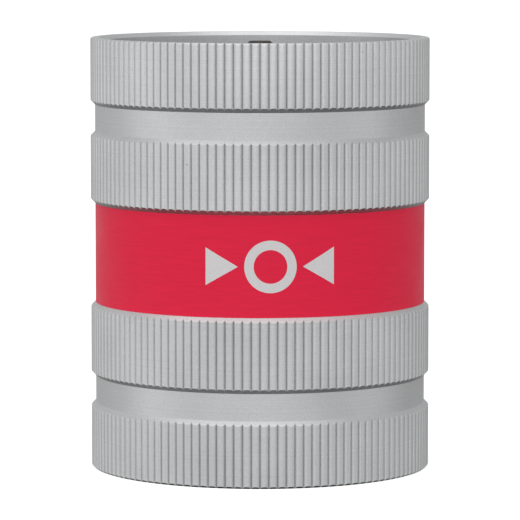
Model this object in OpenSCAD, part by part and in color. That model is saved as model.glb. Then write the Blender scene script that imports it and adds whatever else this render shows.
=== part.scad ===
// Tube deburrer: a ribbed aluminium barrel that holds a star of hardened blades.
// The blades' upper edges form a cone, which trims the inside edge of a cut tube.
// Their lower edges form a funnel, which trims the outside edge.
// Origin: centre of the lower rim. +Z: along the tool's axis, towards the cone's nose.

/* [Barrel] */
// Diameter over the crests of the ribbed bands
barrel_d = 70; // [69:0.5:74]
// Diameter of the bore
bore_d = 65; // [64.8:0.1:65.2]
// Depth of the plain grooves below the crests
groove_depth = 0.93; // [0.6:0.01:1.0]
// Bottom and top of each of the four ribbed bands
band_z = [[0, 13.5], [19, 34.2], [54.7, 69.5], [75, 88.8]];
// Radius of the rounding around the outside of the upper rim
upper_rim_round = 0.4; // [0.3:0.1:0.9]
// Chamfer around the outside of the lower rim
lower_rim_chamfer = 0.4; // [0.2:0.1:0.9]
// Chamfer into the bore at both mouths
mouth_chamfer = 0.8; // [0.4:0.1:1.2]

/* [Label] */
// Thickness of the film wrapped around the middle
label_t = 0.1; // [0.06:0.01:0.2]

/* [Blades] */
// Thickness of a blade
blade_t = 1.2; // [0.8:0.1:1.3]
// Angle between the cutting edges and the tool's axis
cone_half_angle = 36; // [35.5:0.1:37]
// Radius where the cutting edges start at the nose
tip_r = 3; // [2.8:0.1:3.2]
// Radius where the cutting edges end, just over that of the largest tube
cone_r = 28; // [27.5:0.1:28.1]
// Height of the lowest point of the cutting edges
blade_foot_z = 8; // [7.5:0.1:8.5]
// Height of the cutting edges at the nose
blade_top_z = 87; // [86.5:0.1:87.2]
// Radius where the short blades begin
short_blade_r = 8; // [7:0.5:9]

/* [Core] */
// Diameter of the core pin, whose upper end is the nose
pin_d = 5; // [4.8:0.1:5.2]
// Height of the top of the nose
nose_z = 88; // [87.8:0.1:88.2]
// Diameter of the slotted hub
hub_d = 22; // [20:0.5:24]
// Height of the hub
hub_h = 12; // [8:0.5:14]

/* [Fixings] */
// Diameter of the wire of the snap rings
wire_d = 1.4; // [1.2:0.1:1.6]
// Diameter of the set screws
screw_d = 4; // [3:1:4]
// Length of the set screws
screw_length = 4; // [3:0.5:4]

/* [Hidden] */
$fn = 96;

blade_count = 16;
crest_r = barrel_d / 2;
groove_r = crest_r - groove_depth;
bore_r = bore_d / 2;
slide_gap = 0.1;

// The film lies in a shallow seat, so that its face is level with the plain grooves.
film_gap = 0.02;
label_seat_r = groove_r - label_t - film_gap;
label_z = [band_z[1][1] + slide_gap, band_z[2][0] - slide_gap];

// Cutting edges: their height falls by edge_slope for each unit of radius.
edge_slope = 1 / tan(cone_half_angle);
edge_drop = (cone_r - tip_r) * edge_slope;
shoulder_z = blade_top_z - edge_drop;
funnel_top_z = blade_foot_z + edge_drop;

// Carriers: two rings whose blind slots hold the blades' outer tabs between them.
carrier_r = bore_r - slide_gap;
carrier_inner_r = cone_r + 0.3;
carrier_lip = 1.5;
carrier_h = 16.6;
slot_w = blade_t + slide_gap;
slot_r = carrier_r - 0.9;
tab_r = slot_r - slide_gap;
tab_z = [blade_foot_z + carrier_lip + slide_gap, shoulder_z - carrier_lip - slide_gap];

// Core: the long blades stand in slots of the pin and step out around the hub's web.
pin_r = pin_d / 2;
pin_slot_r = pin_r - 0.3;
pin_chamfer = 0.35;
pin_foot_z = funnel_top_z + 1;
hub_r = hub_d / 2;
hub_web_r = pin_r + 2.4;
hub_z = (blade_top_z + blade_foot_z - hub_h) / 2 + 7;

// Snap rings: round wire, part sunk in the wall, against the outer face of each carrier.
wire_r = wire_d / 2;
wire_path_r = bore_r - wire_r / 2;
wire_groove_r = wire_r + 0.05;
ring_opening = 14;

// Set screws: through the wall under the film, midway between two blades.
screw_r = screw_d / 2;
screw_outer_r = label_seat_r - 0.15;
screw_z = shoulder_z - carrier_h / 2;
screw_hex_r = 0.29 * screw_d;
screw_angles = [for (i = [0 : 3]) 90 * i + 180 / blade_count];

module barrel() {
    color([0.74, 0.74, 0.73]) difference() {
        rotate_extrude() polygon(barrel_outline());
        snap_ring_groove(blade_foot_z - wire_r);
        snap_ring_groove(shoulder_z + wire_r);
        set_screw_holes();
    }
}

// The wall's section: up the outside, band by band, then down the bore.
function barrel_outline() = concat(
    [[crest_r - lower_rim_chamfer, band_z[0][0]], [crest_r, band_z[0][0] + lower_rim_chamfer]],
    plain_stretch(0, groove_r),
    plain_stretch(1, label_seat_r),
    plain_stretch(2, groove_r),
    [for (a = [0 : 15 : 90]) [crest_r, band_z[3][1]] - upper_rim_round * [1 - cos(a), 1 - sin(a)]],
    [[bore_r + mouth_chamfer, band_z[3][1]], [bore_r, band_z[3][1] - mouth_chamfer]],
    [[bore_r, band_z[0][0] + mouth_chamfer], [bore_r + mouth_chamfer, band_z[0][0]]]
);

// From the top of band i, down its chamfer, along radius r and up to the crest of the next band.
function plain_stretch(i, r) = concat(
    [[crest_r, band_z[i][1] - groove_depth], [groove_r, band_z[i][1]]],
    r < groove_r ? [[r, band_z[i][1]], [r, band_z[i + 1][0]]] : [],
    [[groove_r, band_z[i + 1][0]], [crest_r, band_z[i + 1][0] + groove_depth]]
);

module snap_ring_groove(z) {
    translate([0, 0, z]) rotate_extrude() translate([wire_path_r, 0]) circle(wire_groove_r);
}

// Radial holes from the label's seat into the upper carrier.
module set_screw_holes() {
    for (a = screw_angles)
        rotate(a) translate([screw_outer_r - screw_length - slide_gap, 0, screw_z])
            rotate([0, 90, 0]) cylinder(r = screw_r + slide_gap / 2, h = screw_length + 1);
}

module label() {
    color([0.83, 0.17, 0.26]) translate([0, 0, label_z[0]]) linear_extrude(label_z[1] - label_z[0])
        difference() {
            circle(label_seat_r + film_gap + label_t);
            circle(label_seat_r + film_gap);
        }
}

// A ring with one blind slot for each blade, open downwards.
module carrier() {
    difference() {
        rotate_extrude() translate([carrier_inner_r, 0]) square([carrier_r - carrier_inner_r, carrier_h]);
        for (i = [0 : blade_count - 1])
            rotate(360 * i / blade_count) translate([carrier_inner_r - 1, -slot_w / 2, -1])
                cube([slot_r - carrier_inner_r + 1, slot_w, carrier_h - carrier_lip + 1]);
    }
}

module upper_carrier() {
    color([0.55, 0.56, 0.57]) difference() {
        translate([0, 0, shoulder_z - carrier_h]) carrier();
        set_screw_holes();
    }
}

module lower_carrier() {
    color([0.55, 0.56, 0.57]) translate([0, 0, blade_foot_z + carrier_h]) mirror([0, 0, 1]) carrier();
}

module snap_ring(z) {
    color([0.35, 0.35, 0.36]) translate([0, 0, z]) rotate(90 + ring_opening / 2)
        rotate_extrude(angle = 360 - ring_opening) translate([wire_path_r, 0]) circle(wire_r);
}

module upper_snap_ring() { snap_ring(shoulder_z + wire_r); }

module lower_snap_ring() { snap_ring(blade_foot_z - wire_r); }

module blade_hub() {
    color([0.3, 0.3, 0.3]) translate([0, 0, hub_z]) difference() {
        cylinder(r = hub_r, h = hub_h);
        translate([0, 0, -1]) cylinder(r = pin_r + slide_gap / 2, h = hub_h + 2);
        for (i = [0 : blade_count - 1]) hub_slot(i, blade_start_r(i) - slide_gap);
    }
}

// Radius where blade i begins, at the height of the hub.
function blade_start_r(i) = i % 2 == 0 ? hub_web_r : short_blade_r;

module hub_slot(i, r) {
    rotate(360 * i / blade_count) translate([r, -slot_w / 2, -1]) cube([hub_r, slot_w, hub_h + 2]);
}

module core_pin() {
    color([0.16, 0.16, 0.16]) difference() {
        rotate_extrude() polygon([
            [0, pin_foot_z], [pin_r - pin_chamfer, pin_foot_z], [pin_r, pin_foot_z + pin_chamfer],
            [pin_r, nose_z - pin_chamfer], [pin_r - pin_chamfer, nose_z], [0, nose_z]
        ]);
        for (i = [0 : 2 : blade_count - 2])
            rotate(360 * i / blade_count) translate([pin_slot_r, -slot_w / 2, pin_foot_z - 1])
                cube([1, slot_w, blade_top_z + slide_gap - pin_foot_z + 1]);
    }
}

module set_screws() {
    color([0.12, 0.12, 0.12]) for (a = screw_angles)
        rotate(a) translate([screw_outer_r - screw_length, 0, screw_z]) rotate([0, 90, 0])
            difference() {
                cylinder(r = screw_r, h = screw_length);
                translate([0, 0, screw_length / 2]) cylinder(r = screw_hex_r, h = screw_length, $fn = 6);
            }
}

function edge_z(r) = blade_top_z - max(0, r - tip_r) * edge_slope;
function funnel_z(r) = funnel_top_z - max(0, r - tip_r) * edge_slope;

// Outline of blade i in the plane of radius and height: around the tab, then in along each edge.
function blade_outline(i) = concat(
    [[cone_r, blade_foot_z], [carrier_inner_r - slide_gap, blade_foot_z]],
    [[carrier_inner_r - slide_gap, tab_z[0]], [tab_r, tab_z[0]]],
    [[tab_r, tab_z[1]], [carrier_inner_r - slide_gap, tab_z[1]]],
    [[carrier_inner_r - slide_gap, shoulder_z], [cone_r, shoulder_z]],
    i % 2 == 0 ? long_inner_edge() : short_inner_edge()
);

function short_inner_edge() = [
    [short_blade_r, edge_z(short_blade_r)], [short_blade_r, funnel_z(short_blade_r)]
];

function long_inner_edge() = let (r = pin_slot_r + slide_gap, hub_top_z = hub_z + hub_h) [
    [tip_r, blade_top_z], [r, blade_top_z],
    [r, hub_top_z + slide_gap], [hub_web_r, hub_top_z + slide_gap],
    [hub_web_r, hub_z - slide_gap], [r, hub_z - slide_gap],
    [r, funnel_top_z], [tip_r, funnel_top_z]
];

module blade(i) {
    color([0.6, 0.61, 0.63]) rotate(360 * i / blade_count) translate([0, blade_t / 2, 0])
        rotate([90, 0, 0]) linear_extrude(blade_t) polygon(blade_outline(i));
}

barrel();
label();
upper_carrier();
lower_carrier();
upper_snap_ring();
lower_snap_ring();
blade_hub();
core_pin();
set_screws();
for (i = [0 : blade_count - 1])
    blade(i);
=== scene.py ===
import math

import bmesh
import bpy
from bpy.props import FloatProperty, FloatVectorProperty, IntProperty, PointerProperty
from mathutils import Matrix, Vector


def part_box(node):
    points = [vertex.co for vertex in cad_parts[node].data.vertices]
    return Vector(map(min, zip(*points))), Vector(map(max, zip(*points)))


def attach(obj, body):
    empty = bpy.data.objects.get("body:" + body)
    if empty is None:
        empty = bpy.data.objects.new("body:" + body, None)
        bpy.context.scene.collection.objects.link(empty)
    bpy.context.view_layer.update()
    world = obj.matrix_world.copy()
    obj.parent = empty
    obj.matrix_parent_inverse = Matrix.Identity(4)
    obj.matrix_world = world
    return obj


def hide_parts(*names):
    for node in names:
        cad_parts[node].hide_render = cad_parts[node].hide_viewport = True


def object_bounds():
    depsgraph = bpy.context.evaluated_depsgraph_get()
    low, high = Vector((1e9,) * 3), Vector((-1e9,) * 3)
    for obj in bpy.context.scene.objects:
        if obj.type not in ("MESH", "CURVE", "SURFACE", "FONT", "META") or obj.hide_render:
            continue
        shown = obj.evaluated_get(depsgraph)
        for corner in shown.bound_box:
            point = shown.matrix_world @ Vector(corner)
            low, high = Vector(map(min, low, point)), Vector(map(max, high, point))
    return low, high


bl_info = {
    "name": "Tube deburrer",
    "version": (1, 0, 0),
    "blender": (4, 5, 0),
    "location": "3D View > Sidebar > Deburrer",
    "description": "Builds a tube deburrer's ribbed barrel, film, blades and fixings on its CAD frame",
    "category": "Object",
}

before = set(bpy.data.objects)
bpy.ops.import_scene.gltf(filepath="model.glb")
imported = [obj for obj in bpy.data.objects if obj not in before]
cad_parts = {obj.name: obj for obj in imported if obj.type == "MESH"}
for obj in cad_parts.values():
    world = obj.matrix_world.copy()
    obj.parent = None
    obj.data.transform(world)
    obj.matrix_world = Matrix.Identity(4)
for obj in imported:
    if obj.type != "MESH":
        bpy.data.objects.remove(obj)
CAD_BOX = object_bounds()
MM = 0.001
BLADES = sorted(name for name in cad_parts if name.startswith("blade_") and name[-1].isdigit())
CARRIERS = ["upper_carrier", "lower_carrier"]
SNAP_RINGS = ["upper_snap_ring", "lower_snap_ring"]
BLACKENED = ["blade_hub", "core_pin", "set_screws"]
FILM_THICKNESS = 0.1 * MM
FILM_GAP = 0.02 * MM


# ---------------------------------------------------------------- colours and node helpers

def linear(hex_colour):
    """An sRGB hex colour as linear RGBA."""
    values = [int(hex_colour[i:i + 2], 16) / 255 for i in (1, 3, 5)]
    return [v / 12.92 if v <= 0.04045 else ((v + 0.055) / 1.055) ** 2.4 for v in values] + [1.0]


def add(tree, kind, inputs=None, **settings):
    """One node of a tree: settings are its own properties, inputs are values or sockets to link."""
    node = tree.nodes.new(kind)
    for name, value in settings.items():
        setattr(node, name, value)
    for name, value in (inputs or {}).items():
        if isinstance(value, bpy.types.NodeSocket):
            tree.links.new(value, node.inputs[name])
        else:
            node.inputs[name].default_value = value
    return node


def new_material(name):
    """An empty node material with its tree."""
    material = bpy.data.materials.new(name)
    material.use_nodes = True
    material.node_tree.nodes.clear()
    return material, material.node_tree


# ---------------------------------------------------------------- settings

class BarrelSettings(bpy.types.PropertyGroup):
    rib_count: IntProperty(
        name="Ribs", description="Straight ribs around each grip band", default=124, min=60, max=180)
    rib_depth: FloatProperty(
        name="Rib depth", description="Depth of the V between two ribs", default=0.44 * MM, unit="LENGTH")
    rib_crown: FloatProperty(
        name="Rib crown", description="2 is a round back, higher is a flatter one", default=4.0)
    groove_depth: FloatProperty(
        name="Groove depth", description="Depth of the plain grooves below the crests",
        default=0.93 * MM, unit="LENGTH")
    mouth_chamfer: FloatProperty(
        name="Mouth chamfer", description="Chamfer into the bore at both mouths",
        default=0.8 * MM, unit="LENGTH")
    bore_gap: FloatProperty(
        name="Carrier gap", description="Gap between the carriers and the bore",
        default=0.1 * MM, unit="LENGTH")
    colour: FloatVectorProperty(
        name="Anodised aluminium", description="Colour of the satin anodised barrel",
        default=linear("#D5D6D7"), size=4, min=0, max=1, subtype="COLOR")


class LabelSettings(bpy.types.PropertyGroup):
    colour: FloatVectorProperty(
        name="Film", description="Colour of the film",
        default=linear("#F1284A"), size=4, min=0, max=1, subtype="COLOR")
    mark_colour: FloatVectorProperty(
        name="Mark", description="Colour of the printed pictogram",
        default=linear("#E6E3E4"), size=4, min=0, max=1, subtype="COLOR")
    mark_height: FloatProperty(
        name="Mark height", description="Height of the pictogram of a tube between two cones",
        default=10.5 * MM, unit="LENGTH")


class BladeSettings(bpy.types.PropertyGroup):
    relief: FloatProperty(
        name="Relief", description="How far the back of each cutting edge is ground down",
        default=0.45 * MM, unit="LENGTH")
    colour: FloatVectorProperty(
        name="Hardened steel", description="Colour of the ground blades",
        default=linear("#B9BBBE"), size=4, min=0, max=1, subtype="COLOR")


class FixingSettings(bpy.types.PropertyGroup):
    edge_break: FloatProperty(
        name="Edge break", description="Width of the broken edges on turned and sawn parts",
        default=0.12 * MM, unit="LENGTH")
    black_colour: FloatVectorProperty(
        name="Black oxide", description="Colour of the blackened steel",
        default=linear("#3A3936"), size=4, min=0, max=1, subtype="COLOR")
    wire_colour: FloatVectorProperty(
        name="Spring wire", description="Colour of the drawn spring wire",
        default=linear("#7B7C7E"), size=4, min=0, max=1, subtype="COLOR")
    carrier_colour: FloatVectorProperty(
        name="Carrier aluminium", description="Colour of the turned carriers",
        default=linear("#A9ABAD"), size=4, min=0, max=1, subtype="COLOR")


class StageSettings(bpy.types.PropertyGroup):
    camera_distance: FloatProperty(
        name="Camera distance", description="From the tool's axis to the camera",
        default=0.7782, unit="LENGTH")
    camera_height: FloatProperty(
        name="Camera height", description="Above the floor", default=0.1176, unit="LENGTH")
    camera_pitch: FloatProperty(
        name="Camera pitch", description="How far the camera looks down",
        default=math.radians(5.508), unit="ROTATION")
    lens: FloatProperty(
        name="Focal length", description="In millimetres, on a 36 mm wide sensor", default=260.85)
    surround: FloatProperty(
        name="Surround", description="Strength of the soft light from all around and above", default=0.73)
    light_from: FloatVectorProperty(
        name="Light from", description="Side that the surround favours, and by how much",
        default=(-0.11, -0.30, 0.0), size=3)
    floor_colour: FloatVectorProperty(
        name="Floor", description="Colour of the plain floor",
        default=linear("#C8C8C8"), size=4, min=0, max=1, subtype="COLOR")


# ---------------------------------------------------------------- materials

def radius_socket(tree, position):
    """Distance from the tool's axis, in metres."""
    flat = add(tree, "ShaderNodeVectorMath", {0: position, 1: (1, 1, 0)}, operation="MULTIPLY")
    return add(tree, "ShaderNodeVectorMath", {0: flat.outputs[0]}, operation="LENGTH").outputs["Value"]


def satin_anodised_aluminium(settings):
    # 6000-series aluminium, turned, etched satin and clear anodised: an even soft grey with faint
    # turning lines and a fine grit, brighter where hands rub the rib crests, with a few dark spots of
    # painted shade for small pits.
    material, tree = new_material("satin_anodised_aluminium")
    position = add(tree, "ShaderNodeTexCoord").outputs["Object"]
    radius = radius_socket(tree, position)
    height = add(tree, "ShaderNodeSeparateXYZ", {0: position}).outputs["Z"]
    crest = CAD_BOX[1].x
    # Etching grit is about 0.05 mm, drawn at 0.3 mm so that it shows.
    grit = add(tree, "ShaderNodeTexNoise", {"Vector": position, "Scale": 1 / (0.3 * MM), "Detail": 2.0})
    # Turning feed of 0.2 mm, drawn at 0.45 mm so that it shows.
    feed = add(tree, "ShaderNodeTexNoise", {
        "W": height, "Scale": 1 / (0.45 * MM), "Detail": 2.0}, noise_dimensions="1D")
    cloud = add(tree, "ShaderNodeTexNoise", {"Vector": position, "Scale": 1 / (14 * MM), "Detail": 3.0})
    rub = add(tree, "ShaderNodeMapRange", {
        "Value": radius, "From Min": crest - 0.36 * MM, "From Max": crest - 0.02 * MM,
        "To Min": 0.0, "To Max": 1.0}, interpolation_type="SMOOTHSTEP")
    shade = add(tree, "ShaderNodeMapRange", {
        "Value": cloud.outputs[0], "From Min": 0.3, "From Max": 0.7, "To Min": 0.95, "To Max": 1.04})
    speck = add(tree, "ShaderNodeMapRange", {
        "Value": grit.outputs[0], "From Min": 0.3, "From Max": 0.7, "To Min": 0.93, "To Max": 1.05})
    line = add(tree, "ShaderNodeMapRange", {
        "Value": feed.outputs[0], "From Min": 0.3, "From Max": 0.7, "To Min": 0.975, "To Max": 1.02})
    # Painted shade for small pits: one cell in five of a 7 mm pattern holds a dark spot 0.5 mm across,
    # painted where a pit's shade would fall.
    cells = add(tree, "ShaderNodeTexVoronoi", {"Vector": position, "Scale": 1 / (7 * MM)})
    chosen = add(tree, "ShaderNodeSeparateColor", {0: cells.outputs["Color"]})
    pit_shade_spot = add(tree, "ShaderNodeMapRange", {
        "Value": cells.outputs["Distance"], "From Min": 0.02, "From Max": 0.04, "To Min": 0.4,
        "To Max": 1.0})
    clean = add(tree, "ShaderNodeMath", {0: chosen.outputs[0], 1: 0.8}, operation="LESS_THAN")
    painted_pit_shade = add(tree, "ShaderNodeMath", {0: pit_shade_spot.outputs[0], 1: clean.outputs[0]}, operation="MAXIMUM")
    even = add(tree, "ShaderNodeMath", {0: shade.outputs[0], 1: speck.outputs[0]}, operation="MULTIPLY")
    lined = add(tree, "ShaderNodeMath", {0: even.outputs[0], 1: line.outputs[0]}, operation="MULTIPLY")
    # The colour takes the random tone and the painted pit shade together.
    tint = add(tree, "ShaderNodeMath", {0: lined.outputs[0], 1: painted_pit_shade.outputs[0]}, operation="MULTIPLY")
    colour = add(tree, "ShaderNodeVectorMath", {
        0: tuple(settings.colour)[:3], "Scale": tint.outputs[0]}, operation="SCALE")
    roughness = add(tree, "ShaderNodeMapRange", {
        "Value": rub.outputs[0], "To Min": 0.44, "To Max": 0.38})
    bump = add(tree, "ShaderNodeBump", {
        "Strength": 0.35, "Distance": 0.03 * MM, "Height": grit.outputs[0]})
    shader = add(tree, "ShaderNodeBsdfPrincipled", {
        "Base Color": colour.outputs[0], "Roughness": roughness.outputs[0],
        "Normal": bump.outputs[0], "Metallic": 1.0})
    add(tree, "ShaderNodeOutputMaterial", {"Surface": shader.outputs[0]})
    return material


def printed_vinyl_film(settings):
    # Cast vinyl film with a satin overlaminate: a deep even red, a faint grain along the way it
    # was pulled, and a soft broad highlight.
    material, tree = new_material("printed_vinyl_film")
    position = add(tree, "ShaderNodeTexCoord").outputs["Object"]
    # The pull grain runs around the barrel, about 0.4 mm from line to line.
    stretched = add(tree, "ShaderNodeVectorMath", {0: position, 1: (0.08, 0.08, 1.0)}, operation="MULTIPLY")
    pull = add(tree, "ShaderNodeTexNoise", {
        "Vector": stretched.outputs[0], "Scale": 1 / (0.4 * MM), "Detail": 2.0})
    cloud = add(tree, "ShaderNodeTexNoise", {"Vector": position, "Scale": 1 / (9 * MM), "Detail": 2.0})
    tint = add(tree, "ShaderNodeMapRange", {
        "Value": pull.outputs[0], "From Min": 0.3, "From Max": 0.7, "To Min": 0.965, "To Max": 1.035})
    colour = add(tree, "ShaderNodeVectorMath", {
        0: tuple(settings.colour)[:3], "Scale": tint.outputs[0]}, operation="SCALE")
    roughness = add(tree, "ShaderNodeMapRange", {
        "Value": cloud.outputs[0], "From Min": 0.3, "From Max": 0.7, "To Min": 0.36, "To Max": 0.46})
    bump = add(tree, "ShaderNodeBump", {
        "Strength": 0.1, "Distance": 0.01 * MM, "Height": pull.outputs[0]})
    shader = add(tree, "ShaderNodeBsdfPrincipled", {
        "Base Color": colour.outputs[0], "Roughness": roughness.outputs[0], "Normal": bump.outputs[0],
        "Specular IOR Level": 0.12})
    add(tree, "ShaderNodeOutputMaterial", {"Surface": shader.outputs[0]})
    return material


def screen_ink(settings):
    # Screen-printed ink: matt, light grey, with a trace of the mesh it was pressed through.
    material, tree = new_material("screen_ink")
    position = add(tree, "ShaderNodeTexCoord").outputs["Object"]
    weave = add(tree, "ShaderNodeTexNoise", {"Vector": position, "Scale": 1 / (0.25 * MM), "Detail": 1.0})
    tint = add(tree, "ShaderNodeMapRange", {
        "Value": weave.outputs[0], "From Min": 0.3, "From Max": 0.7, "To Min": 0.92, "To Max": 1.02})
    colour = add(tree, "ShaderNodeVectorMath", {
        0: tuple(settings.mark_colour)[:3], "Scale": tint.outputs[0]}, operation="SCALE")
    shader = add(tree, "ShaderNodeBsdfPrincipled", {
        "Base Color": colour.outputs[0], "Roughness": 0.55, "Specular IOR Level": 0.3})
    add(tree, "ShaderNodeOutputMaterial", {"Surface": shader.outputs[0]})
    return material


def ground_hardened_steel(settings):
    # Hardened tool steel, surface ground: bright grey with fine straight scratches up the blade
    # and a faint straw cloud from tempering.
    material, tree = new_material("ground_hardened_steel")
    position = add(tree, "ShaderNodeTexCoord").outputs["Object"]
    # Grinding lines run along Z, about 0.2 mm from line to line.
    stretched = add(tree, "ShaderNodeVectorMath", {0: position, 1: (1.0, 1.0, 0.04)}, operation="MULTIPLY")
    lines = add(tree, "ShaderNodeTexNoise", {
        "Vector": stretched.outputs[0], "Scale": 1 / (0.2 * MM), "Detail": 3.0})
    cloud = add(tree, "ShaderNodeTexNoise", {"Vector": position, "Scale": 1 / (8 * MM), "Detail": 3.0})
    straw = add(tree, "ShaderNodeMapRange", {
        "Value": cloud.outputs[0], "From Min": 0.45, "From Max": 0.75, "To Min": 0.0, "To Max": 0.35})
    steel = add(tree, "ShaderNodeMix", {
        0: straw.outputs[0], 6: tuple(settings.colour), 7: linear("#A89F8C")}, data_type="RGBA")
    tint = add(tree, "ShaderNodeMapRange", {
        "Value": lines.outputs[0], "From Min": 0.3, "From Max": 0.7, "To Min": 0.82, "To Max": 1.1})
    colour = add(tree, "ShaderNodeVectorMath", {
        0: steel.outputs[2], "Scale": tint.outputs[0]}, operation="SCALE")
    roughness = add(tree, "ShaderNodeMapRange", {
        "Value": lines.outputs[0], "From Min": 0.3, "From Max": 0.7, "To Min": 0.24, "To Max": 0.4})
    bump = add(tree, "ShaderNodeBump", {
        "Strength": 0.3, "Distance": 0.01 * MM, "Height": lines.outputs[0]})
    shader = add(tree, "ShaderNodeBsdfPrincipled", {
        "Base Color": colour.outputs[0], "Roughness": roughness.outputs[0], "Normal": bump.outputs[0],
        "Metallic": 1.0})
    add(tree, "ShaderNodeOutputMaterial", {"Surface": shader.outputs[0]})
    return material


def turned_aluminium(settings):
    # Aluminium straight from the lathe: concentric feed lines, brighter and sharper than the barrel.
    material, tree = new_material("turned_aluminium")
    position = add(tree, "ShaderNodeTexCoord").outputs["Object"]
    radius = radius_socket(tree, position)
    height = add(tree, "ShaderNodeSeparateXYZ", {0: position}).outputs["Z"]
    along = add(tree, "ShaderNodeMath", {0: radius, 1: height}, operation="ADD")
    # Feed of 0.35 mm a turn, so that each line shows.
    feed = add(tree, "ShaderNodeTexNoise", {
        "W": along.outputs[0], "Scale": 1 / (0.35 * MM), "Detail": 2.0}, noise_dimensions="1D")
    tint = add(tree, "ShaderNodeMapRange", {
        "Value": feed.outputs[0], "From Min": 0.3, "From Max": 0.7, "To Min": 0.85, "To Max": 1.08})
    colour = add(tree, "ShaderNodeVectorMath", {
        0: tuple(settings.carrier_colour)[:3], "Scale": tint.outputs[0]}, operation="SCALE")
    roughness = add(tree, "ShaderNodeMapRange", {
        "Value": feed.outputs[0], "From Min": 0.3, "From Max": 0.7, "To Min": 0.28, "To Max": 0.42})
    bump = add(tree, "ShaderNodeBump", {
        "Strength": 0.4, "Distance": 0.01 * MM, "Height": feed.outputs[0]})
    shader = add(tree, "ShaderNodeBsdfPrincipled", {
        "Base Color": colour.outputs[0], "Roughness": roughness.outputs[0], "Normal": bump.outputs[0],
        "Metallic": 1.0})
    add(tree, "ShaderNodeOutputMaterial", {"Surface": shader.outputs[0]})
    return material


def black_oxide_steel(settings):
    # Steel blackened in hot salts: near black and slightly oily, with a brown cast in patches.
    material, tree = new_material("black_oxide_steel")
    position = add(tree, "ShaderNodeTexCoord").outputs["Object"]
    patch = add(tree, "ShaderNodeTexNoise", {"Vector": position, "Scale": 1 / (3 * MM), "Detail": 4.0})
    grain = add(tree, "ShaderNodeTexNoise", {"Vector": position, "Scale": 1 / (0.15 * MM), "Detail": 2.0})
    brown = add(tree, "ShaderNodeMapRange", {
        "Value": patch.outputs[0], "From Min": 0.4, "From Max": 0.7, "To Min": 0.0, "To Max": 0.5})
    colour = add(tree, "ShaderNodeMix", {
        0: brown.outputs[0], 6: tuple(settings.black_colour), 7: linear("#4A433B")}, data_type="RGBA")
    roughness = add(tree, "ShaderNodeMapRange", {
        "Value": grain.outputs[0], "From Min": 0.3, "From Max": 0.7, "To Min": 0.38, "To Max": 0.55})
    bump = add(tree, "ShaderNodeBump", {
        "Strength": 0.25, "Distance": 0.01 * MM, "Height": grain.outputs[0]})
    shader = add(tree, "ShaderNodeBsdfPrincipled", {
        "Base Color": colour.outputs[2], "Roughness": roughness.outputs[0], "Normal": bump.outputs[0],
        "Metallic": 0.6})
    add(tree, "ShaderNodeOutputMaterial", {"Surface": shader.outputs[0]})
    return material


def drawn_spring_wire(settings):
    # Patented spring wire, drawn through a die: dark grey, smooth, with faint lengthwise streaks.
    material, tree = new_material("drawn_spring_wire")
    position = add(tree, "ShaderNodeTexCoord").outputs["Object"]
    radius = radius_socket(tree, position)
    height = add(tree, "ShaderNodeSeparateXYZ", {0: position}).outputs["Z"]
    across = add(tree, "ShaderNodeCombineXYZ", {"X": radius, "Y": height})
    streak = add(tree, "ShaderNodeTexNoise", {
        "Vector": across.outputs[0], "Scale": 1 / (0.2 * MM), "Detail": 2.0})
    tint = add(tree, "ShaderNodeMapRange", {
        "Value": streak.outputs[0], "From Min": 0.3, "From Max": 0.7, "To Min": 0.75, "To Max": 1.1})
    colour = add(tree, "ShaderNodeVectorMath", {
        0: tuple(settings.wire_colour)[:3], "Scale": tint.outputs[0]}, operation="SCALE")
    shader = add(tree, "ShaderNodeBsdfPrincipled", {
        "Base Color": colour.outputs[0], "Roughness": 0.3, "Metallic": 1.0})
    add(tree, "ShaderNodeOutputMaterial", {"Surface": shader.outputs[0]})
    return material


def matt_floor(settings):
    # A plain painted board: pale, matt and even. It glows a little, so that it shows near white.
    material, tree = new_material("matt_floor")
    shader = add(tree, "ShaderNodeBsdfPrincipled", {
        "Base Color": tuple(settings.floor_colour), "Roughness": 0.9, "Emission Color": (1, 1, 1, 1),
        "Emission Strength": 0.7})
    add(tree, "ShaderNodeOutputMaterial", {"Surface": shader.outputs[0]})
    return material


# ---------------------------------------------------------------- shared mesh work

def new_piece(name, mesh, slot, *nodes):
    """Links a finished mesh, on the tool's one body, in place of CAD nodes."""
    piece = bpy.data.objects.new(name, mesh)
    bpy.context.scene.collection.objects.link(piece)
    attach(piece, "root")
    if nodes:
        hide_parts(*nodes)
    return piece


def mesh_from(name, build, smooth_angle=30):
    """A mesh from a function that fills a bmesh, with edges sharper than the angle left sharp."""
    bm = bmesh.new()
    build(bm)
    mesh = bpy.data.meshes.new(name)
    bm.to_mesh(mesh)
    bm.free()
    mesh.shade_smooth()
    mesh.set_sharp_from_angle(angle=math.radians(smooth_angle))
    return mesh


def merged_copy(bm, node):
    """A CAD node's mesh with its loose triangles joined and its flat faces made whole."""
    bm.from_mesh(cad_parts[node].data)
    bmesh.ops.remove_doubles(bm, verts=bm.verts, dist=0.001 * MM)
    bmesh.ops.dissolve_limit(bm, angle_limit=math.radians(1), verts=bm.verts, edges=bm.edges)


def broken_edges(bm, width):
    """Bevels the sharp edges of a machined part."""
    sharp = [e for e in bm.edges if len(e.link_faces) == 2 and e.calc_face_angle() > math.radians(40)]
    bmesh.ops.bevel(bm, geom=sharp, offset=width, segments=2, profile=0.5, affect="EDGES",
                    clamp_overlap=True)


# ---------------------------------------------------------------- barrel

def crest_levels():
    """Heights of the ends of the crests of the ribbed bands, read from the CAD barrel."""
    crest = CAD_BOX[1].x
    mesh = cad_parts["barrel"].data
    heights = {round(v.co.z, 6) for v in mesh.vertices if math.hypot(v.co.x, v.co.y) > crest - 0.002 * MM}
    levels = []
    for height in sorted(heights):
        if not levels or height - levels[-1] > 0.1 * MM:
            levels.append(height)
    return levels


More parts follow.
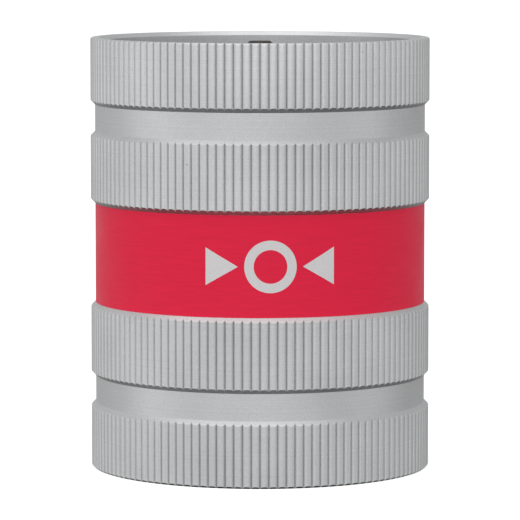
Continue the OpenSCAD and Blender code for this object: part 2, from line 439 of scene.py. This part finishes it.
def wall_section(settings, rib_r):
    """The barrel's section, as radius and height, where the ribs stand at radius rib_r."""
    crest = CAD_BOX[1].x
    top = CAD_BOX[1].z
    groove = crest - settings.groove_depth
    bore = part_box("upper_carrier")[1].x + settings.bore_gap
    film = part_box("label")
    seat = film[1].x - FILM_THICKNESS - FILM_GAP
    levels = crest_levels()
    sunk = crest - rib_r
    lower_chamfer = levels[0]
    rim_round = top - levels[-1]
    rim_steps = 6
    # The V roots are deeper than the chamfer under the lowest band, so there they stop at its foot.
    points = [(bore + settings.mouth_chamfer, 0), (min(crest - lower_chamfer, rib_r), 0),
              (rib_r, max(lower_chamfer - sunk, 0))]
    for i in range(1, len(levels) - 1, 2):
        below = levels[i] + settings.groove_depth
        above = levels[i + 1] - settings.groove_depth
        points += [(rib_r, levels[i] + sunk), (groove, below)]
        if below < film[0].z < above:
            points += [(seat, below), (seat, above)]
        points += [(groove, above), (rib_r, levels[i + 1] - sunk)]
    for i in range(rim_steps + 1):
        turn = math.pi / 2 * i / rim_steps
        rounded = crest - rim_round * (1 - math.cos(turn))
        points.append((min(rib_r, rounded), top - rim_round * (1 - math.sin(turn))))
    points += [(bore + settings.mouth_chamfer, top), (bore, top - settings.mouth_chamfer)]
    for ring in SNAP_RINGS:
        points += ring_groove(bore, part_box(ring))
    return points + [(bore, settings.mouth_chamfer)]


def ring_groove(bore, ring_box, steps=6):
    """Points down the round groove of a snap ring, from its upper edge to its lower edge."""
    clearance = 0.05 * MM
    wire = (ring_box[1].z - ring_box[0].z) / 2
    middle = (ring_box[1].z + ring_box[0].z) / 2
    path = -ring_box[0].y - wire
    radius = wire + clearance
    half = math.acos((bore - path) / radius)
    turns = [half - 2 * half * i / steps for i in range(steps + 1)]
    return [(path + radius * math.cos(t), middle + radius * math.sin(t)) for t in turns]


def rib_sector(settings, columns=10):
    """The wall over one rib: its section swept across the rib's crowned back, root to root."""
    crest = CAD_BOX[1].x
    pitch = 2 * math.pi * crest / settings.rib_count

    def build(bm):
        loops = []
        for i in range(columns + 1):
            # The columns stand closer together towards the roots, where the V is steep.
            across = 0.5 * math.sin(math.pi * (i / columns - 0.5))
            rib_r = crest - settings.rib_depth * abs(2 * across) ** settings.rib_crown
            turn = Matrix.Rotation(across * pitch / crest, 3, "Z")
            loops.append([bm.verts.new(turn @ Vector((r, 0, z))) for r, z in wall_section(settings, rib_r)])
        for here, there in zip(loops, loops[1:]):
            for j in range(len(here)):
                k = (j + 1) % len(here)
                bm.faces.new((here[j], there[j], there[k], here[k]))

    return mesh_from("rib_sector", build)


def ring_tree(name):
    """Geometry nodes: copies of the object's own mesh turned around Z, merged into one skin."""
    tree = bpy.data.node_groups.new(name, "GeometryNodeTree")
    for label, kind in (("Geometry", "NodeSocketGeometry"), ("Count", "NodeSocketInt"),
                        ("Turn of the first", "NodeSocketFloat"), ("Merge distance", "NodeSocketFloat"),
                        ("Material", "NodeSocketMaterial")):
        tree.interface.new_socket(label, in_out="INPUT", socket_type=kind)
    tree.interface.new_socket("Geometry", in_out="OUTPUT", socket_type="NodeSocketGeometry")
    given = add(tree, "NodeGroupInput").outputs
    one = add(tree, "GeometryNodeGeometryToInstance", {"Geometry": given["Geometry"]})
    many = add(tree, "GeometryNodeDuplicateElements", {
        "Geometry": one.outputs[0], "Amount": given["Count"]}, domain="INSTANCE")
    step = add(tree, "ShaderNodeMath", {0: 2 * math.pi, 1: given["Count"]}, operation="DIVIDE")
    turn = add(tree, "ShaderNodeMath", {
        0: many.outputs["Duplicate Index"], 1: step.outputs[0], 2: given["Turn of the first"]},
        operation="MULTIPLY_ADD")
    angles = add(tree, "ShaderNodeCombineXYZ", {"Z": turn.outputs[0]})
    turned = add(tree, "GeometryNodeRotateInstances", {
        "Instances": many.outputs[0], "Rotation": angles.outputs[0], "Local Space": False})
    real = add(tree, "GeometryNodeRealizeInstances", {"Geometry": turned.outputs[0]})
    joined = add(tree, "GeometryNodeMergeByDistance", {
        "Geometry": real.outputs[0], "Distance": given["Merge distance"]})
    coloured = add(tree, "GeometryNodeSetMaterial", {
        "Geometry": joined.outputs[0], "Material": given["Material"]})
    add(tree, "NodeGroupOutput", {"Geometry": coloured.outputs[0]})
    return tree


def ringed_mesh(name, sector, **inputs):
    """The plain mesh that ring_tree makes of a sector, with its modifier gone."""
    maker = bpy.data.objects.new(name + "_maker", sector)
    bpy.context.scene.collection.objects.link(maker)
    tree = ring_tree(name + "_around")
    modifier = maker.modifiers.new("around", "NODES")
    modifier.node_group = tree
    sockets = {item.name: item.identifier for item in tree.interface.items_tree
               if item.in_out == "INPUT"}
    for label, value in inputs.items():
        modifier[sockets[label.replace("_", " ")]] = value
    bpy.context.view_layer.update()
    graph = bpy.context.evaluated_depsgraph_get()
    mesh = bpy.data.meshes.new_from_object(maker.evaluated_get(graph))
    bpy.data.objects.remove(maker)
    return mesh


class DEBURRER_OT_barrel(bpy.types.Operator):
    """Build the barrel: four ribbed bands, plain grooves, chamfered mouths and ring grooves"""
    bl_idname = "deburrer.barrel"
    bl_label = "Barrel"

    def execute(self, context):
        settings = context.scene.deburrer_barrel
        sector = rib_sector(settings)
        # A root, not a crest, faces straight forward.
        first = -math.pi / 2 + math.pi / settings.rib_count
        mesh = ringed_mesh(
            "ribbed_barrel", sector, Count=settings.rib_count, Turn_of_the_first=first,
            Merge_distance=0.002 * MM, Material=satin_anodised_aluminium(settings))
        mesh.shade_smooth()
        mesh.set_sharp_from_angle(angle=math.radians(30))
        new_piece("ribbed_barrel", mesh, "barrel", "barrel")
        return {"FINISHED"}


# ---------------------------------------------------------------- label

def on_cylinder(radius, x, z):
    """A flat point, x along the front and z up, wrapped around the front of the barrel."""
    angle = x / radius - math.pi / 2
    return Vector((radius * math.cos(angle), radius * math.sin(angle), z))


def film_mesh(steps=256):
    """A closed band of film with rolled edges."""
    low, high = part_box("label")
    outer = high.x
    inner = outer - FILM_THICKNESS
    roll = 0.02 * MM
    # The film is cut to fill its seat, where the CAD leaves 0.1 mm at each edge.
    fill = 0.08 * MM
    foot, head = low.z - fill, high.z + fill

    def build(bm):
        section = [(inner, foot), (outer - roll, foot), (outer, foot + roll),
                   (outer, head - roll), (outer - roll, head), (inner, head)]
        loops = []
        for i in range(steps):
            turn = Matrix.Rotation(2 * math.pi * i / steps, 3, "Z")
            loops.append([bm.verts.new(turn @ Vector((r, 0, z))) for r, z in section])
        for here, there in zip(loops, loops[1:] + loops[:1]):
            for j in range(len(here)):
                k = (j + 1) % len(here)
                bm.faces.new((here[j], there[j], there[k], here[k]))

    return mesh_from("film", build)


def ring_shape(cx, cz, inner, outer, steps=64):
    """Quads of a flat ring."""
    points = []
    for i in range(steps):
        a, b = 2 * math.pi * i / steps, 2 * math.pi * (i + 1) / steps
        points.append([(cx + r * math.cos(t), cz + r * math.sin(t))
                       for r, t in ((inner, a), (outer, a), (outer, b), (inner, b))])
    return points


def cone_shape(tip_x, base_x, cz, half, steps=12):
    """Strips of a flat triangle whose tip points along X."""
    strips = []
    for i in range(steps):
        near, far = i / steps, (i + 1) / steps
        x0, x1 = tip_x + (base_x - tip_x) * near, tip_x + (base_x - tip_x) * far
        strips.append([(x0, cz - half * near), (x1, cz - half * far), (x1, cz + half * far),
                       (x0, cz + half * near)])
    return strips


def mark_mesh(settings):
    """A pictogram of a tube's end between two cones, wrapped on the film."""
    low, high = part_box("label")
    middle = (low.z + high.z) / 2
    ink = 0.02 * MM
    radius = high.x + ink
    size = settings.mark_height
    shift = 0.2 * size
    ring_inner, ring_outer = 0.32 * size, 0.5 * size
    tip, base, cone_half = 0.62 * size, 1.25 * size, 0.36 * size
    shapes = ring_shape(shift, middle, ring_inner, ring_outer)
    for side in (-1, 1):
        shapes += cone_shape(shift + side * tip, shift + side * base, middle, cone_half)

    def build(bm):
        for shape in shapes:
            bm.faces.new([bm.verts.new(on_cylinder(radius, x, z)) for x, z in shape])
        bmesh.ops.remove_doubles(bm, verts=bm.verts, dist=0.005 * MM)
        bmesh.ops.recalc_face_normals(bm, faces=bm.faces)
        for face in bm.faces:
            out = face.calc_center_median()
            out.z = 0
            if face.normal.dot(out) < 0:
                face.normal_flip()

    return mesh_from("mark", build, 60)


class DEBURRER_OT_label(bpy.types.Operator):
    """Build the film around the middle and its printed pictogram"""
    bl_idname = "deburrer.label"
    bl_label = "Film and mark"

    def execute(self, context):
        settings = context.scene.deburrer_label
        film = new_piece("film", film_mesh(), "label", "label")
        film.data.materials.append(printed_vinyl_film(settings))
        mark = new_piece("film_mark", mark_mesh(settings), "label")
        mark.data.materials.append(screen_ink(settings))
        return {"FINISHED"}


# ---------------------------------------------------------------- blades

def ground_blade(node, relief):
    """A CAD blade with the back of its two cutting edges ground away."""
    def build(bm):
        merged_copy(bm, node)
        bm.normal_update()
        low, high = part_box(node)
        out = Vector(((low.x + high.x) / 2, (low.y + high.y) / 2, 0)).normalized()
        side = Vector((-out.y, out.x, 0))
        # The cutting faces are the large ones that are neither upright nor level.
        upright, level, large = 0.3, 0.9, 20 * MM * MM
        for face in list(bm.faces):
            slope = face.normal
            if abs(slope.z) < upright or abs(slope.z) > level or face.calc_area() < large:
                continue
            for vert in face.verts:
                if vert.co.dot(side) < 0:
                    vert.co.z -= relief * math.copysign(1, slope.z)

    return mesh_from(node + "_ground", build, 20)


class DEBURRER_OT_blades(bpy.types.Operator):
    """Grind the cutting edges of every blade"""
    bl_idname = "deburrer.blades"
    bl_label = "Blades"

    def execute(self, context):
        settings = context.scene.deburrer_blade
        steel = ground_hardened_steel(settings)
        for node in BLADES:
            mesh = ground_blade(node, settings.relief)
            mesh.materials.append(steel)
            new_piece(node + "_ground", mesh, "blade", node)
        return {"FINISHED"}


# ---------------------------------------------------------------- core and fixings

def finished_part(node, width):
    """A machined CAD part with its edges broken."""
    def build(bm):
        merged_copy(bm, node)
        broken_edges(bm, width)

    return mesh_from(node + "_finished", build)


class DEBURRER_OT_fixings(bpy.types.Operator):
    """Finish the carriers, hub, core pin, snap rings and set screws"""
    bl_idname = "deburrer.fixings"
    bl_label = "Core and fixings"

    def execute(self, context):
        settings = context.scene.deburrer_fixing
        groups = (
            (CARRIERS, "carrier", turned_aluminium(settings)),
            (BLACKENED, "black_steel", black_oxide_steel(settings)),
            (SNAP_RINGS, "spring_wire", drawn_spring_wire(settings)))
        for nodes, slot, material in groups:
            for node in nodes:
                mesh = finished_part(node, settings.edge_break)
                mesh.materials.append(material)
                new_piece(node + "_finished", mesh, slot, node)
        return {"FINISHED"}


# ---------------------------------------------------------------- stage

def soft_box(name, place, target, width, height, power):
    """An area light that faces a point."""
    data = bpy.data.lights.new(name, "AREA")
    data.shape = "RECTANGLE"
    data.size = width
    data.size_y = height
    data.energy = power
    light = bpy.data.objects.new(name, data)
    light.location = place
    light.rotation_euler = (Vector(target) - Vector(place)).to_track_quat("-Z", "Y").to_euler()
    bpy.context.scene.collection.objects.link(light)


def studio_world(settings):
    """Soft light from all around, fading to none straight down, and more from the front."""
    world = bpy.data.worlds.new("studio")
    world.use_nodes = True
    tree = world.node_tree
    tree.nodes.clear()
    direction = add(tree, "ShaderNodeTexCoord").outputs["Generated"]
    up = add(tree, "ShaderNodeSeparateXYZ", {0: direction}).outputs["Z"]
    side = add(tree, "ShaderNodeVectorMath", {0: direction, 1: settings.light_from}, operation="DOT_PRODUCT")
    around = add(tree, "ShaderNodeMath", {0: side.outputs["Value"], 1: 1.0}, operation="ADD")
    horizon = add(tree, "ShaderNodeMapRange", {
        "Value": up, "From Min": -0.95, "From Max": 0.1, "To Min": 0.0, "To Max": settings.surround},
        interpolation_type="SMOOTHSTEP")
    light = add(tree, "ShaderNodeMath", {0: horizon.outputs[0], 1: around.outputs[0]}, operation="MULTIPLY")
    # What shows behind the tool is plain white.
    seen = add(tree, "ShaderNodeLightPath").outputs["Is Camera Ray"]
    strength = add(tree, "ShaderNodeMix", {0: seen, 2: light.outputs[0], 3: 1.0}, data_type="FLOAT")
    back = add(tree, "ShaderNodeBackground", {"Color": (1, 1, 1, 1), "Strength": strength.outputs[0]})
    add(tree, "ShaderNodeOutputWorld", {"Surface": back.outputs[0]})
    bpy.context.scene.world = world


class DEBURRER_OT_stage(bpy.types.Operator):
    """Set the floor, the soft lights and the camera"""
    bl_idname = "deburrer.stage"
    bl_label = "Stage"

    def execute(self, context):
        settings = context.scene.deburrer_stage
        bpy.ops.mesh.primitive_plane_add(size=20, location=(0, 0, 0))
        floor = context.object
        floor.name = "floor"
        floor.data.materials.append(matt_floor(settings))
        # The barrel's undersides stay dark, so the floor throws no light back up.
        floor.visible_diffuse = False
        floor.visible_glossy = False
        middle = (0, 0, CAD_BOX[1].z / 2)
        # Each box's name, its place, its width and height in metres, and its power in watts.
        for name, place, width, height, power in (
                ("front_box", (-0.1, -1.3, 0.6), 1.4, 0.7, 1.5),
                ("left_box", (-1.1, -0.2, 0.1), 0.6, 0.8, 0.36),
                ("top_box", (-0.1, -0.1, 0.9), 0.9, 0.9, 1.6),
                ("right_box", (1.1, -0.2, 0.1), 0.6, 0.8, 0.27)):
            soft_box(name, place, middle, width, height, power)
        studio_world(settings)
        data = bpy.data.cameras.new("camera")
        data.sensor_width = 36
        data.lens = settings.lens
        data.clip_start = 0.05
        data.clip_end = 50
        camera = bpy.data.objects.new("camera", data)
        camera.location = (0, -settings.camera_distance, settings.camera_height)
        camera.rotation_euler = (math.pi / 2 - settings.camera_pitch, 0, 0)
        context.scene.collection.objects.link(camera)
        context.scene.camera = camera
        context.scene.view_settings.view_transform = "Standard"
        return {"FINISHED"}


# ---------------------------------------------------------------- panel and registration

class DEBURRER_PT_panel(bpy.types.Panel):
    """The tool's pieces and their settings"""
    bl_idname = "DEBURRER_PT_panel"
    bl_label = "Tube deburrer"
    bl_space_type = "VIEW_3D"
    bl_region_type = "UI"
    bl_category = "Deburrer"

    def draw(self, context):
        for group, operator in GROUPS.items():
            box = self.layout.box()
            settings = getattr(context.scene, group)
            for name in settings.__annotations__:
                box.prop(settings, name)
            box.operator(operator)


GROUPS = {
    "deburrer_stage": "deburrer.stage",
    "deburrer_barrel": "deburrer.barrel",
    "deburrer_label": "deburrer.label",
    "deburrer_blade": "deburrer.blades",
    "deburrer_fixing": "deburrer.fixings",
}
SETTINGS = {
    "deburrer_stage": StageSettings,
    "deburrer_barrel": BarrelSettings,
    "deburrer_label": LabelSettings,
    "deburrer_blade": BladeSettings,
    "deburrer_fixing": FixingSettings,
}
CLASSES = (
    BarrelSettings, LabelSettings, BladeSettings, FixingSettings, StageSettings,
    DEBURRER_OT_stage, DEBURRER_OT_barrel, DEBURRER_OT_label, DEBURRER_OT_blades,
    DEBURRER_OT_fixings, DEBURRER_PT_panel,
)


def register():
    for cls in CLASSES:
        bpy.utils.register_class(cls)
    for name, cls in SETTINGS.items():
        setattr(bpy.types.Scene, name, PointerProperty(type=cls))


def unregister():
    for name in SETTINGS:
        delattr(bpy.types.Scene, name)
    for cls in reversed(CLASSES):
        bpy.utils.unregister_class(cls)


def main():
    register()
    bpy.ops.deburrer.stage()
    bpy.ops.deburrer.barrel()
    bpy.ops.deburrer.label()
    bpy.ops.deburrer.blades()
    bpy.ops.deburrer.fixings()


if __name__ == "__main__":
    main()
